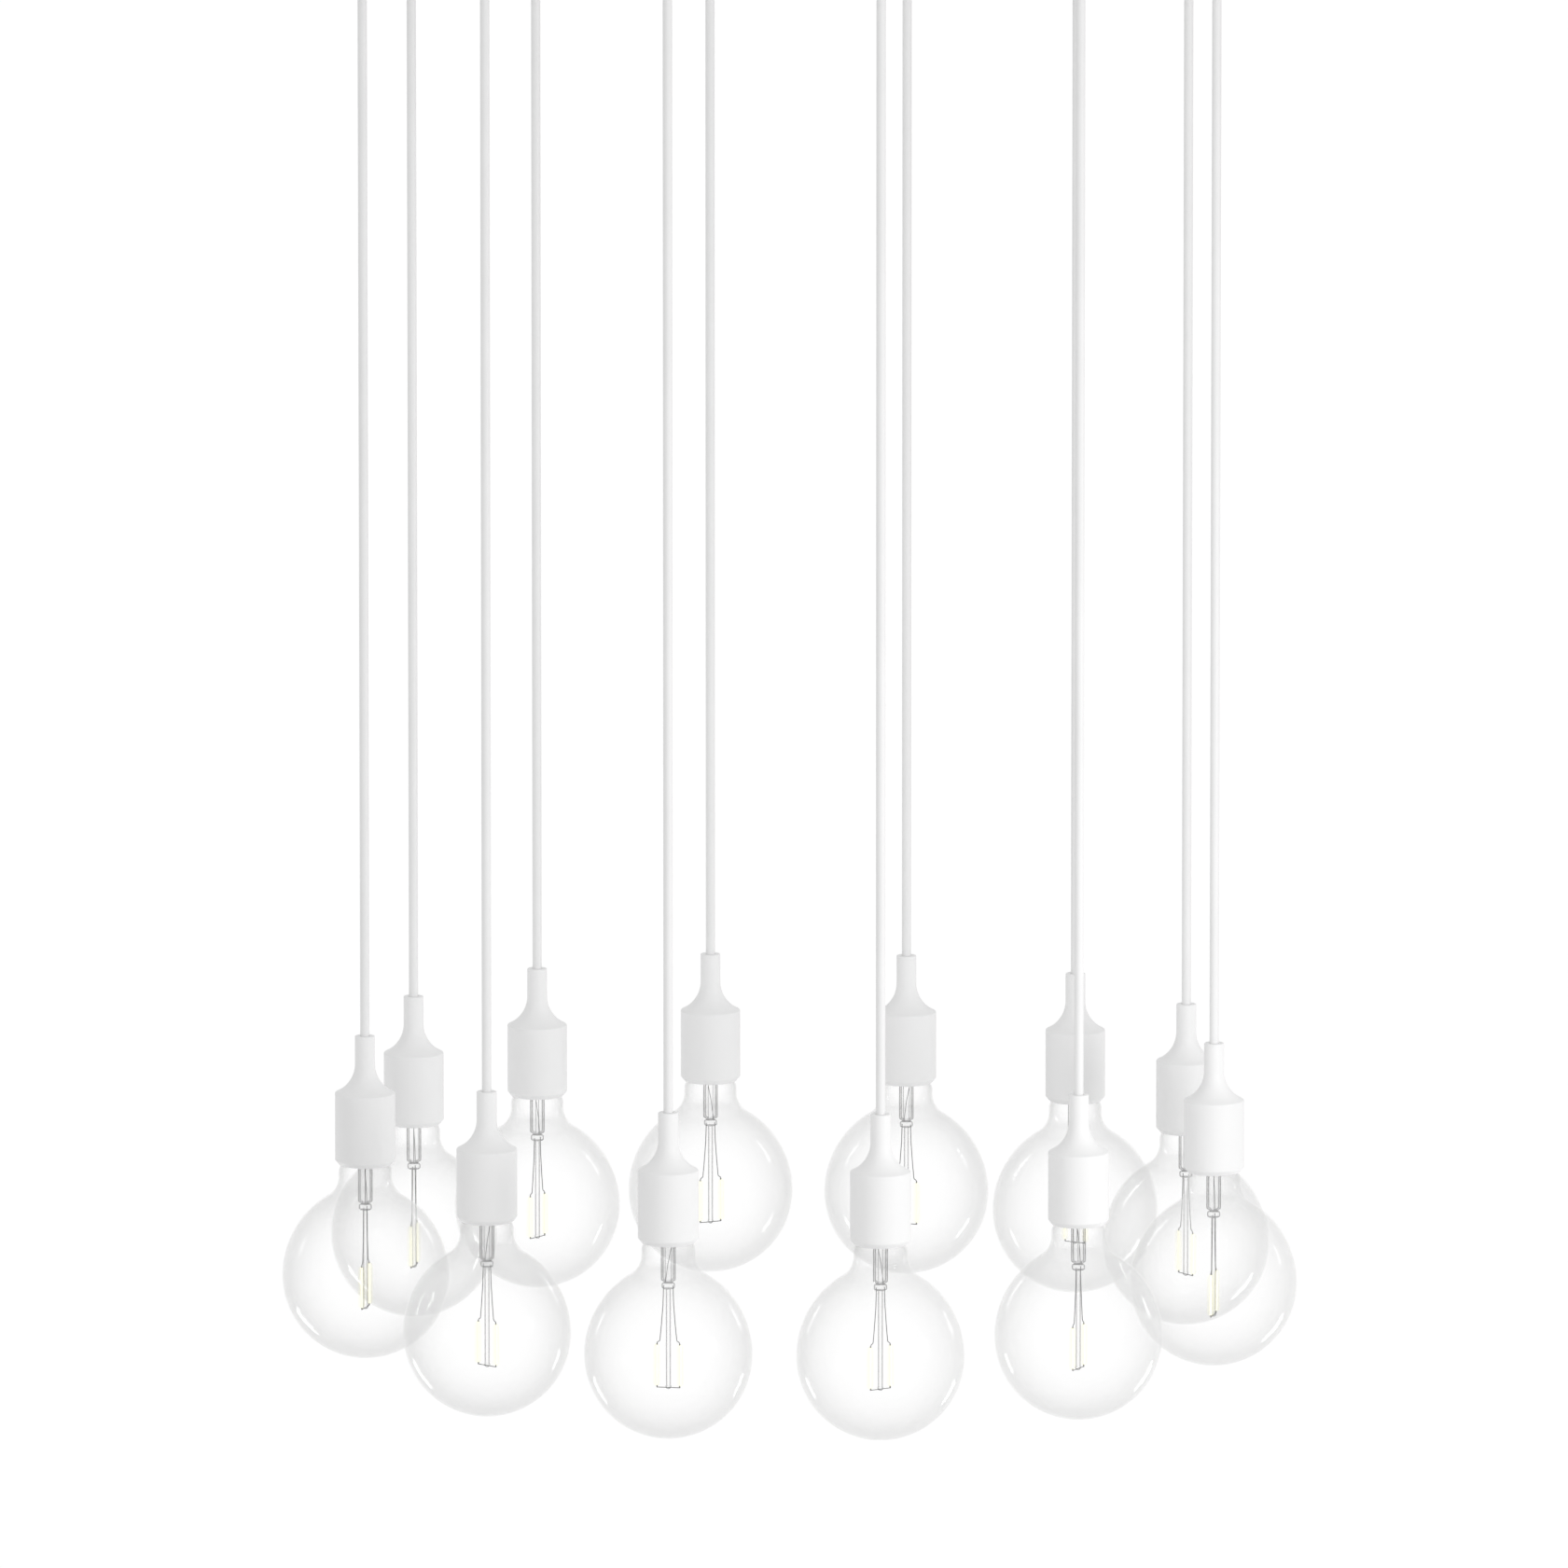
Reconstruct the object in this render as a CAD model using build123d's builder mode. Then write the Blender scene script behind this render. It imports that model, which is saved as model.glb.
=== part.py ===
"""Cluster pendant: a shallow round ceiling canopy from which twelve lamps hang in a ring.

Each lamp is a round cord, a moulded sleeve round a screw lampholder, and a clear globe bulb with a
filament mount inside. Millimetres, +Z up, origin at the centre of the ceiling face, the front of the
ring towards -Y. Lamp parts are drawn once with their origin on the lamp's axis at the top of the
sleeve's neck, and copied round the ring.
"""

from build123d import *
from math import acos, atan2, cos, degrees, radians, sin, sqrt, tan
import os

# ---- the ring of lamps ----
ring_radius = 318.0
lamp_bearings = [12, 42, 83, 111, 137.5, 164, 191, 217, 243, 272, 315, 343.5]  # degrees from the front
bulb_turns = [32, 61, 76, 127, 150, 155, 25, 51, 75, 72, 140, 170]  # where each thread comes tight
lamp_drop = 885.0  # from the canopy's underside to the top of a sleeve's neck
swing_out = 20.0  # degrees that a lamp may swing away from the ring's centre

# ---- canopy, a deep-drawn steel pan ----
canopy_margin = 37.0  # from the ring of lamps out to the canopy's wall
canopy_sheet = 1.2
canopy_corner = 9.0
canopy_lip = 2.5

# ---- mounting bracket, a flat steel cross with four turned-down ends ----
bracket_sheet = 2.5
bracket_hub_margin = 12.0  # how far the hub reaches past the junction box
bracket_arm_width = 36.0
bracket_tab_height = 19.0
bracket_gap = 3.5  # between a turned-down end and the pan's wall
ceiling_hole_radius = 3.0
ceiling_hole_circle = 210.0
ceiling_hole_count = 4

# ---- screws ----
screw_radius = 2.0
screw_head_radius = 5.5
screw_head_height = 5.0
screw_clearance = 0.15
screw_head_round = 1.2
screw_short = 0.5  # how far a box screw's end stops below the ceiling
canopy_screw_depth = 13.0

# ---- junction box under the bracket ----
box_height = 22.0
box_floor_gap = 5.3  # from the box's cover to the inside of the canopy
box_wall = 2.5
box_cover_height = 3.0
box_screw_gap = 8.0  # from the terminal block to the box screws' axes
box_screw_inset = 10.0  # from the box screws' axes to the box's outside
port_overrun = 1.0
inlet_radius = 9.0
grommet_bore = 5.5
grommet_flange = 3.0
grommet_groove = 0.1
terminal_gap = 9.0  # from the grommet's flange to the terminal block
terminal_width = 18.0
terminal_height = 12.0
terminal_screw_radius = 1.5
terminal_screw_length = 4.0
terminal_screw_sink = 0.5
terminal_screw_room = 0.4
terminal_pairs = 12
terminal_margin = 5.0  # from the block's edge to a circle of clamp screws
box_screw_head_radius = 4.0
box_screw_head_height = 2.4
box_screw_round = 0.8
box_edge = 1.0
cover_edge = 1.2
grommet_lap = 2.0
grommet_round = 0.5
grommet_lap_round = 1.0

# ---- cord, cord grips and their nuts ----
cord_radius = 3.5
cord_bend = 14.0
cord_clearance = 0.2
lead_level = 13.0  # how far below the ceiling the leads run
lead_end = 6.0  # how far a lead reaches into the junction box
grip_height = 18.0
grip_flange_radius = 9.5
grip_flange = 3.0
grip_wall = 1.7
grip_stem_radius = 5.8
grip_stem_length = 9.0
grip_mouth_round = 0.8
grip_shoulder_round = 1.0
grip_flange_round = 0.8
grip_stem_round = 0.5
nut_height = 5.0
nut_width = 17.0
nut_chamfer = 0.4
hole_clearance = 0.25
pivot_height = 5.0  # the swinging cord bends this far above the mouth of its grip
swing_clearance = 0.4

# ---- moulded sleeve of the lampholder ----
neck_radius = 7.5
neck_length = 24.5  # to the corner that the sweep rounds off
neck_sweep = 13.0
neck_edge = 0.8
cone_height = 20.0
sweep_margin = 0.3  # of the cone, left between the sweep and the shoulder
body_height = 53.0
sleeve_shoulder = 1.5
sleeve_wall = 2.4
sleeve_lip = 0.9
mouth_edge = 0.6
lip_edge = 0.3
cavity_cap = 3.0  # from the top of the sleeve's cavity to the core's boss
cavity_cone = 10.0  # height of the cavity's narrow end
chamfer_height = 3.5
mouth_clearance = 0.6

# ---- lampholder inside the sleeve ----
core_gap = 0.2
core_wall = 5.65
core_floor = 6.65
core_boss_radius = 6.0
core_boss_height = 8.0
core_edge = 0.5
core_boss_round = 1.0
core_top_round = 2.0
lead_in_height = 3.6
lead_in_width = 3.2
shell_wall = 0.5
shell_gap = 0.15
shell_bottom = 2.5  # how far the screw shell stops above the cap's rim
thread_clearance = 0.5
contact_radius = 4.0
contact_height = 2.5
contact_gap = 0.4
contact_round = 1.0

# ---- bulb: screw cap ----
cap_radius = 13.1
cap_skin = 0.4
cap_height = 20.0
cap_rim = 0.5
cap_shoulder = 1.2
cap_shoulder_round = 0.6
insulator_height = 4.5
insulator_radius = 6.0
insulator_round = 0.5
tip_radius = 4.8
tip_height = 2.0
tip_gap = 0.3
tip_edge = 0.3
tip_crown = 1.2
cap_recess = 5.0  # from the sleeve's mouth up to the cap's rim

# ---- bulb: glass globe ----
globe_radius = 62.5
globe_fullness = 7.5  # the upper half is a little fuller than a sphere
flare_radius = 18.0
bulb_neck_radius = 20.0
bulb_neck_straight = 3.0
bulb_neck_round = 12.0
glass_wall = 0.9
seal_gap = 0.3
seal_height = 8.0

# ---- bulb: glass stem, wires and filaments ----
# lengths are measured down from the cap's rim
stem_radius = 5.5
stem_skirt = 1.5
stem_sweep = 7.0
skirt_round = 0.5
stem_flare_round = 5.0
stem_end_round = 2.2
stem_length = 34.0
stem_waist = 3.2
waist_height = 1.5
bead_radius = 4.9
bead_height = 4.5
bead_round = 1.5
rod_radius = 1.85
rod_length = 116.0
rod_root_round = 0.4
rod_end_round = 1.2
crossbar_above_end = 1.5
crossbar_hook = 1.8
kink_length = 81.0
kink_reach = 0.7
wire_spread = 3.6
wire_radius = 0.4
filament_radius = 0.95
filament_spread = 8.0  # from the axis to each filament

# ---- places worked out from the sizes above ----
terminal_inner = inlet_radius + grommet_lap + terminal_gap
terminal_outer = terminal_inner + terminal_width
box_screw_circle = terminal_outer + box_screw_gap
box_radius = box_screw_circle + box_screw_inset
bracket_hub_radius = box_radius + bracket_hub_margin
canopy_radius = ring_radius + canopy_margin
canopy_height = bracket_sheet + box_height + box_cover_height + box_floor_gap + canopy_sheet
canopy_floor = -canopy_height + canopy_sheet
grip_mouth = -canopy_height - grip_height
pivot_level = grip_mouth + pivot_height
neck_top = -canopy_height - lamp_drop
neck_bore = cord_radius + cord_clearance
cone_bottom = neck_length + cone_height
sleeve_height = cone_bottom + body_height
core_bottom = sleeve_height - chamfer_height - core_gap
shell_inner = cap_radius + thread_clearance
core_bore = shell_inner + shell_wall + shell_gap
core_radius = core_bore + core_wall
sleeve_radius = core_radius + core_gap + sleeve_wall
cap_depth = sleeve_height - cap_recess  # from the top of the sleeve's neck
cap_top = cap_depth - cap_height
tip_top = cap_top - insulator_height - tip_gap - tip_height
contact_top = tip_top - contact_gap - contact_height
core_top = contact_top - shell_gap - core_floor
cord_end = core_top - core_boss_height
globe_upper_radius = globe_radius + globe_fullness
seal_radius = cap_radius - cap_skin - seal_gap
tab_outer = canopy_radius - canopy_sheet - bracket_gap
lead_start = pivot_level + cord_radius + swing_clearance


def axis_point(bearing, radius, level):
    """A point at a bearing from the front, seen from above, at a radius from the ring's centre."""
    return (radius * sin(radians(bearing)), -radius * cos(radians(bearing)), level)


def tangent_height(radius_a, radius_b, offset):
    """How far apart in height two touching circles' centres are when they are offset sideways."""
    return sqrt((radius_a + radius_b) ** 2 - offset**2)


# The bulb's outline hangs from the cap: neck round, straight neck, flare, then the globe.
neck_round_centre = bulb_neck_radius - bulb_neck_round
cap_bore = cap_radius - cap_skin
round_depth = cap_depth + seal_gap + sqrt(bulb_neck_round**2 - (cap_bore - neck_round_centre) ** 2)
flare_depth = round_depth + bulb_neck_straight
upper_offset = globe_upper_radius - globe_radius
flare_offset = bulb_neck_radius + flare_radius + upper_offset
globe_drop = tangent_height(globe_upper_radius, flare_radius, flare_offset)
globe_depth = flare_depth + globe_drop
flare_angle = degrees(acos(flare_offset / (globe_upper_radius + flare_radius)))


def glass_radius_at(depth):
    """Outer radius of the glass where its neck rounds in towards the cap."""
    return neck_round_centre + sqrt(bulb_neck_round**2 - (round_depth - depth) ** 2)


def glass_section(inset):
    """Half section of the space inside the glass's outline, moved in by inset, from pole to neck end."""
    end_radius = seal_radius - inset
    end_level = seal_height - cap_depth
    round_radius = bulb_neck_round - inset
    round_angle = degrees(acos((end_radius - neck_round_centre) / round_radius))
    flare_centre = (bulb_neck_radius + flare_radius, -flare_depth)
    round_centre = (neck_round_centre, -round_depth)
    wall_line = bulb_neck_radius - inset
    with BuildSketch(Plane.XZ) as half:
        with BuildLine():
            CenterArc((0, -globe_depth), globe_radius - inset, -90, 90)
            CenterArc((-upper_offset, -globe_depth), globe_upper_radius - inset, 0, flare_angle)
            CenterArc(flare_centre, flare_radius + inset, 180 + flare_angle, -flare_angle)
            Line((wall_line, -flare_depth), (wall_line, -round_depth))
            neck_round = CenterArc(round_centre, round_radius, 0, round_angle)
            bottom = inset - globe_depth - globe_radius
            Polyline(neck_round @ 1, (end_radius, end_level), (0, end_level), (0, bottom))
        make_face()
    return half.sketch


def profile(*points, radius):
    """A closed half section of (radius, height) points, with a fillet radius for each corner."""
    with BuildSketch(Plane.XZ) as half:
        with BuildLine():
            FilletPolyline(*points, radius=radius, close=True)
        make_face()
    return half.sketch


# ---- ceiling canopy ----
wall_inner = canopy_radius - canopy_sheet
canopy_section = profile(
    (0, -canopy_height),
    (canopy_radius, -canopy_height),
    (canopy_radius, 0),
    (wall_inner - canopy_lip, 0),
    (wall_inner - canopy_lip, -canopy_sheet),
    (wall_inner, -canopy_sheet),
    (wall_inner, canopy_floor),
    (0, canopy_floor),
    radius=[0, canopy_corner, canopy_sheet, 0, 0, 0, canopy_corner - canopy_sheet, 0],
)
screw_level = -bracket_sheet - bracket_tab_height / 2
screw_bearings = range(0, 360, 90)


def screw_plane(bearing, radius):
    """The plane across a canopy screw's axis, facing out from the centre."""
    return Plane(axis_point(bearing, radius, screw_level), z_dir=axis_point(bearing, 1, 0))


with BuildPart() as canopy:
    revolve(canopy_section, axis=Axis.Z)
    with BuildSketch(Plane.XY.offset(-canopy_height)):
        with Locations([axis_point(bearing, ring_radius, 0) for bearing in lamp_bearings]):
            Circle(grip_stem_radius + hole_clearance)
    extrude(amount=canopy_sheet, mode=Mode.SUBTRACT)
    for bearing in screw_bearings:
        with BuildSketch(screw_plane(bearing, canopy_radius)):
            Circle(screw_radius + screw_clearance)
        extrude(amount=-2 * canopy_sheet, mode=Mode.SUBTRACT)
canopy.part.label = "ceiling_canopy"

# ---- mounting bracket ----
with BuildPart() as bracket:
    with BuildSketch(Plane.XY.offset(-bracket_sheet)):
        Circle(bracket_hub_radius)
        Rectangle(2 * tab_outer, bracket_arm_width)
        Rectangle(bracket_arm_width, 2 * tab_outer)
        with PolarLocations(ceiling_hole_circle, ceiling_hole_count):
            Circle(ceiling_hole_radius, mode=Mode.SUBTRACT)
        with PolarLocations(box_screw_circle, ceiling_hole_count, start_angle=45):
            Circle(screw_radius + screw_clearance, mode=Mode.SUBTRACT)
        Circle(inlet_radius, mode=Mode.SUBTRACT)
    extrude(amount=bracket_sheet)
    with BuildSketch(Plane.XY.offset(-bracket_sheet)):
        with PolarLocations(tab_outer - bracket_sheet / 2, 4):
            Rectangle(bracket_sheet, bracket_arm_width)
    extrude(amount=-bracket_tab_height)
    for bearing in screw_bearings:
        with BuildSketch(screw_plane(bearing, tab_outer)):
            Circle(screw_radius + screw_clearance)
        extrude(amount=-2 * bracket_sheet, mode=Mode.SUBTRACT)
bracket.part.label = "mounting_bracket"

# ---- screws that hold the canopy to the bracket's turned-down ends ----
screw_section = profile(
    (0, 0),
    (screw_head_radius, 0),
    (screw_head_radius, screw_head_height),
    (0, screw_head_height),
    radius=[0, 0, screw_head_round, 0],
)
with BuildPart() as canopy_screw:
    revolve(screw_section, axis=Axis.Z)
    with BuildSketch(Plane.XY):
        Circle(screw_radius)
    extrude(amount=-canopy_screw_depth)

with BuildPart() as canopy_screws:
    for bearing in screw_bearings:
        with Locations(screw_plane(bearing, canopy_radius)):
            add(canopy_screw.part)
canopy_screws.part.label = "canopy_screws"

# ---- cord grips: a flanged stem through the canopy, with a bell mouth that lets the cord lean ----
lean = radians(swing_out)
mouth_top = cord_radius / cos(lean) + swing_clearance
mouth_bottom = mouth_top + pivot_height * tan(lean)
seat_height = pivot_height + cord_radius + swing_clearance
grip_section = profile(
    (neck_bore, grip_height + grip_stem_length),
    (neck_bore, seat_height),
    (mouth_top, seat_height),
    (mouth_top, pivot_height),
    (mouth_bottom, 0),
    (mouth_bottom + grip_wall, 0),
    (grip_stem_radius + grip_wall, grip_height - grip_flange),
    (grip_flange_radius, grip_height - grip_flange),
    (grip_flange_radius, grip_height),
    (grip_stem_radius, grip_height),
    (grip_stem_radius, grip_height + grip_stem_length),
    radius=[0, 0, 0, 0, 0, grip_mouth_round, grip_shoulder_round, grip_flange_round, 0, 0]
    + [grip_stem_round],
)
with BuildPart() as cord_grip:
    revolve(grip_section, axis=Axis.Z)

with BuildPart() as grip_nut:
    with BuildSketch(Plane.XY):
        RegularPolygon(nut_width / 2, 6, major_radius=False)
        Circle(grip_stem_radius + hole_clearance, mode=Mode.SUBTRACT)
    extrude(amount=nut_height)
    chamfer(grip_nut.edges().filter_by(Plane.XY).group_by(SortBy.LENGTH)[0], nut_chamfer)

with BuildPart() as cord_grips:
    with Locations([axis_point(bearing, ring_radius, grip_mouth) for bearing in lamp_bearings]):
        add(cord_grip.part)
cord_grips.part.label = "cord_grips"

with BuildPart() as grip_nuts:
    for bearing in lamp_bearings:
        with Locations(Location(axis_point(bearing, ring_radius, canopy_floor), (0, 0, bearing))):
            add(grip_nut.part)
grip_nuts.part.label = "grip_nuts"

# ---- leads: each cord goes on from its grip, bends over and runs in to the junction box ----
with BuildPart() as inner_leads:
    for bearing in lamp_bearings:
        start = axis_point(bearing, ring_radius, lead_start)
        bend = axis_point(bearing, ring_radius, -lead_level)
        end = axis_point(bearing, box_radius - lead_end, -lead_level)
        with BuildLine() as route:
            FilletPolyline(start, bend, end, radius=cord_bend)
        with BuildSketch(Plane(start)):
            Circle(cord_radius)
        sweep(path=route.wires()[0])
inner_leads.part.label = "inner_leads"

# ---- junction box: a round cup against the bracket, open below, with a port for each cord ----
box_roof = -bracket_sheet
box_floor = box_roof - box_height
with BuildPart() as junction_box:
    with BuildSketch(Plane.XY.offset(box_floor)):
        Circle(box_radius)
    extrude(amount=box_height)
    fillet(junction_box.edges().group_by(Axis.Z)[-1], box_edge)
    with BuildSketch(Plane.XY.offset(box_floor)):
        Circle(box_radius - box_wall)
    extrude(amount=box_height - box_wall, mode=Mode.SUBTRACT)
    with BuildSketch(Plane.XY.offset(box_roof)):
        Circle(inlet_radius)
        with PolarLocations(box_screw_circle, ceiling_hole_count, start_angle=45):
            Circle(screw_radius + screw_clearance)
    extrude(amount=-box_wall, mode=Mode.SUBTRACT)
    for bearing in lamp_bearings:
        port_start = axis_point(bearing, box_radius + port_overrun, -lead_level)
        port = Plane(port_start, z_dir=axis_point(bearing, 1, 0))
        with BuildSketch(port):
            Circle(cord_radius + cord_clearance)
        extrude(amount=-2 * box_wall - port_overrun, mode=Mode.SUBTRACT)
junction_box.part.label = "junction_box"

with BuildPart() as junction_cover:
    with BuildSketch(Plane.XY.offset(box_floor)):
        Circle(box_radius)
    extrude(amount=-box_cover_height)
    fillet(junction_cover.edges().group_by(Axis.Z)[0], cover_edge)
    with BuildSketch(Plane.XY.offset(box_floor)):
        Circle(box_radius - box_wall - cord_clearance)
        Circle(box_radius - 2 * box_wall, mode=Mode.SUBTRACT)
    extrude(amount=box_cover_height)
junction_cover.part.label = "junction_cover"

# ---- screws that hold the box to the bracket; one of the four also takes the earth wire ----
with BuildPart() as box_screw:
    with BuildSketch(Plane.XY):
        Circle(box_screw_head_radius)
    extrude(amount=-box_screw_head_height)
    fillet(box_screw.edges().group_by(Axis.Z)[0], box_screw_round)
    with BuildSketch(Plane.XY):
        Circle(screw_radius)
    extrude(amount=bracket_sheet + box_wall - screw_short)

with BuildPart() as box_screws:
    with PolarLocations(box_screw_circle, ceiling_hole_count, start_angle=45):
        with Locations((0, 0, box_roof - box_wall)):
            add(box_screw.part)
box_screws.part.label = "box_screws"

# ---- terminal block: a ring with a pair of clamp screws for each lamp ----
terminal_top = box_roof - box_wall
terminal_circles = (terminal_inner + terminal_margin, terminal_outer - terminal_margin)
with BuildPart() as terminal_block:
    with BuildSketch(Plane.XY.offset(terminal_top)):
        Circle(terminal_outer)
        Circle(terminal_inner, mode=Mode.SUBTRACT)
    extrude(amount=-terminal_height)
    with BuildSketch(Plane.XY.offset(terminal_top - terminal_height)):
        for terminal_circle in terminal_circles:
            with PolarLocations(terminal_circle, terminal_pairs):
                Circle(terminal_screw_radius + terminal_screw_room)
    extrude(amount=terminal_screw_length + terminal_screw_sink, mode=Mode.SUBTRACT)
terminal_block.part.label = "terminal_block"

with BuildPart() as terminal_screws:
    with BuildSketch(Plane.XY.offset(terminal_top - terminal_height + terminal_screw_sink)):
        for terminal_circle in terminal_circles:
            with PolarLocations(terminal_circle, terminal_pairs):
                Circle(terminal_screw_radius)
    extrude(amount=terminal_screw_length)
terminal_screws.part.label = "terminal_screws"

# ---- grommet that lines the hole for the supply cable ----
grommet_section = profile(
    (grommet_bore, 0),
    (inlet_radius - grommet_groove, 0),
    (inlet_radius - grommet_groove, -bracket_sheet - box_wall),
    (inlet_radius + grommet_lap, -bracket_sheet - box_wall),
    (inlet_radius + grommet_lap, -bracket_sheet - box_wall - grommet_flange),
    (grommet_bore, -bracket_sheet - box_wall - grommet_flange),
    radius=[grommet_round, 0, 0, 0, grommet_lap_round, grommet_round],
)
with BuildPart() as inlet_grommet:
    revolve(grommet_section, axis=Axis.Z)
inlet_grommet.part.label = "inlet_grommet"

# ---- lampholder sleeve: slim neck, swept cone, straight body, drawn-in mouth ----
mouth_radius = glass_radius_at(sleeve_height) + mouth_clearance
mouth_rim = mouth_radius + sleeve_lip
cavity_top = core_top - core_boss_height - cavity_cap
cone_width = sleeve_radius - neck_radius
cone_turn = atan2(cone_width, cone_height)
cone_slant = sqrt(cone_width**2 + cone_height**2)
sweep_limit = (cone_slant - sweep_margin) / tan(cone_turn / 2) - sleeve_shoulder
sleeve_sweep = min(neck_sweep, sweep_limit)
sleeve_section = profile(
    (neck_bore, 0),
    (neck_radius, 0),
    (neck_radius, -neck_length),
    (sleeve_radius, -cone_bottom),
    (sleeve_radius, chamfer_height - sleeve_height),
    (mouth_rim, -sleeve_height),
    (mouth_radius, -sleeve_height),
    (mouth_radius, chamfer_height - sleeve_height),
    (core_radius + core_gap, chamfer_height - sleeve_height),
    (core_radius + core_gap, -cone_bottom - sleeve_wall),
    (neck_radius, cavity_cone - cavity_top),
    (neck_bore, cavity_cone - cavity_top),
    radius=[lip_edge, neck_edge, sleeve_sweep, sleeve_shoulder, mouth_edge, lip_edge, lip_edge]
    + [0, 0, sleeve_shoulder, 0, 0],
)
with BuildPart() as sleeve:
    revolve(sleeve_section, axis=Axis.Z)

# ---- lampholder core: an insulating cup, with a boss that takes the cord ----
core_section = profile(
    (0, -cord_end),
    (core_boss_radius, -cord_end),
    (core_boss_radius, -core_top),
    (core_radius, -core_top),
    (core_radius, -core_bottom),
    (core_bore + lead_in_width, -core_bottom),
    (core_bore, lead_in_height - core_bottom),
    (core_bore, shell_gap - contact_top),
    (0, shell_gap - contact_top),
    radius=[0, core_edge, core_boss_round, core_top_round, core_edge, 0, 0, core_boss_round, 0],
)
with BuildPart() as core:
    revolve(core_section, axis=Axis.Z)

with BuildPart() as screw_shell:
    with BuildSketch(Plane.XY.offset(shell_bottom - cap_depth)):
        Circle(shell_inner + shell_wall)
        Circle(shell_inner, mode=Mode.SUBTRACT)
    extrude(amount=cap_height)

with BuildPart() as centre_contact:
    with BuildSketch(Plane.XY.offset(-contact_top)):
        Circle(contact_radius)
    extrude(amount=-contact_height)
    fillet(centre_contact.edges().group_by(Axis.Z)[0], contact_round)

with BuildPart() as holder:
    add(sleeve.part)
    add(core.part)
    add(screw_shell.part)
    add(centre_contact.part)

# ---- bulb: the contact tip, which only slides as the thread carries it ----
tip_section = profile(
    (0, -tip_top - tip_height),
    (tip_radius, -tip_top - tip_height),
    (tip_radius, -tip_top),
    (0, -tip_top),
    radius=[0, tip_edge, tip_crown, 0],
)
with BuildPart() as bulb_tip:
    revolve(tip_section, axis=Axis.Z)

# ---- bulb: screw cap with its insulator ----
cap_section = profile(
    (cap_bore, -cap_depth),
    (cap_radius + cap_rim, -cap_depth),
    (cap_radius + cap_rim, cap_rim - cap_depth),
    (cap_radius, 2 * cap_rim - cap_depth),
    (cap_radius, -cap_top - cap_shoulder),
    (cap_radius - cap_shoulder, -cap_top),
    (insulator_radius, insulator_height - cap_top),
    (0, insulator_height - cap_top),
    (0, -cap_top - cap_skin - cap_shoulder),
    (cap_bore, -cap_top - cap_skin - cap_shoulder),
    radius=[0, 0, 0, 0, cap_shoulder_round, cap_shoulder_round, insulator_round, 0, 0, 0],
)
with BuildPart() as cap:
    revolve(cap_section, axis=Axis.Z)

# ---- bulb: glass, an even skin open at the neck ----
with BuildPart() as glass:
    revolve(glass_section(0), axis=Axis.Z)
    revolve(glass_section(glass_wall), axis=Axis.Z, mode=Mode.SUBTRACT)

# ---- bulb: glass stem and rod, with the wires that hold two filaments ----
stem_end = -cap_depth - stem_length
bead_top = stem_end - waist_height
rod_end = -cap_depth - rod_length
skirt_radius = seal_radius - glass_wall - seal_gap
skirt_top = seal_height - cap_depth
stem_section = profile(
    (0, skirt_top),
    (skirt_radius, skirt_top),
    (skirt_radius, skirt_top - stem_skirt),
    (stem_radius, skirt_top - stem_skirt - stem_sweep),
    (stem_radius, stem_end),
    (stem_waist, stem_end),
    (stem_waist, bead_top),
    (bead_radius, bead_top),
    (bead_radius, bead_top - bead_height),
    (rod_radius, bead_top - bead_height),
    (rod_radius, rod_end),
    (0, rod_end),
    radius=[0, 0, skirt_round, stem_flare_round, stem_end_round, 0, 0, bead_round, bead_round]
    + [rod_root_round, rod_end_round, 0],
)
crossbar_level = rod_end + crossbar_above_end
kink_level = -cap_depth - kink_length
filament_length = kink_level - crossbar_level
crossbar_reach = filament_spread + kink_reach
with BuildPart() as mount:
    revolve(stem_section, axis=Axis.Z)
    for side in (-1, 1):
        wire_top = (side * wire_spread, 0, bead_top - bead_height / 2)
        kink = (side * filament_spread, 0, kink_level)
        wire_tip = (side * crossbar_reach, 0, kink_level + 2 * kink_reach)
        for start, end in ((wire_top, kink), (kink, wire_tip)):
            with BuildLine() as wire:
                Line(start, end)
            with BuildSketch(Plane(start, z_dir=wire.line % 0)):
                Circle(wire_radius)
            sweep(path=wire.line)
        with Locations((side * filament_spread, 0, crossbar_level)):
            Cylinder(wire_radius, crossbar_hook, align=(Align.CENTER, Align.CENTER, Align.MIN))
            Cylinder(filament_radius, filament_length, align=(Align.CENTER, Align.CENTER, Align.MIN))
    with BuildSketch(Plane.YZ.offset(-crossbar_reach)):
        with Locations((0, crossbar_level)):
            Circle(wire_radius)
    extrude(amount=2 * crossbar_reach)

with BuildPart() as bulb:
    add(cap.part)
    add(glass.part)
    add(mount.part)

# ---- the twelve lamps ----
os.makedirs("parts", exist_ok=True)
for number, (bearing, turn) in enumerate(zip(lamp_bearings, bulb_turns), start=1):
    lamp = f"{number:02d}"
    neck = axis_point(bearing, ring_radius, neck_top)
    with BuildPart() as cord:
        with BuildSketch(Plane(neck).offset(-cord_end)):
            Circle(cord_radius)
        extrude(amount=cord_end + pivot_level - neck_top)
        with Locations(axis_point(bearing, ring_radius, pivot_level)):
            Sphere(cord_radius)
    cord.part.label = "cord_" + lamp
    with BuildPart() as lampholder:
        with Locations(neck):
            add(holder.part)
    lampholder.part.label = "lampholder_" + lamp
    with BuildPart() as contact_tip:
        with Locations(neck):
            add(bulb_tip.part)
    contact_tip.part.label = "bulb_tip_" + lamp
    with BuildPart() as globe_bulb:
        with Locations(Location(neck, (0, 0, turn))):
            add(bulb.part)
    globe_bulb.part.label = "bulb_" + lamp
    for piece in (cord, lampholder, contact_tip, globe_bulb):
        export_step(piece.part, f"parts/{piece.part.label}.step")

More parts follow.
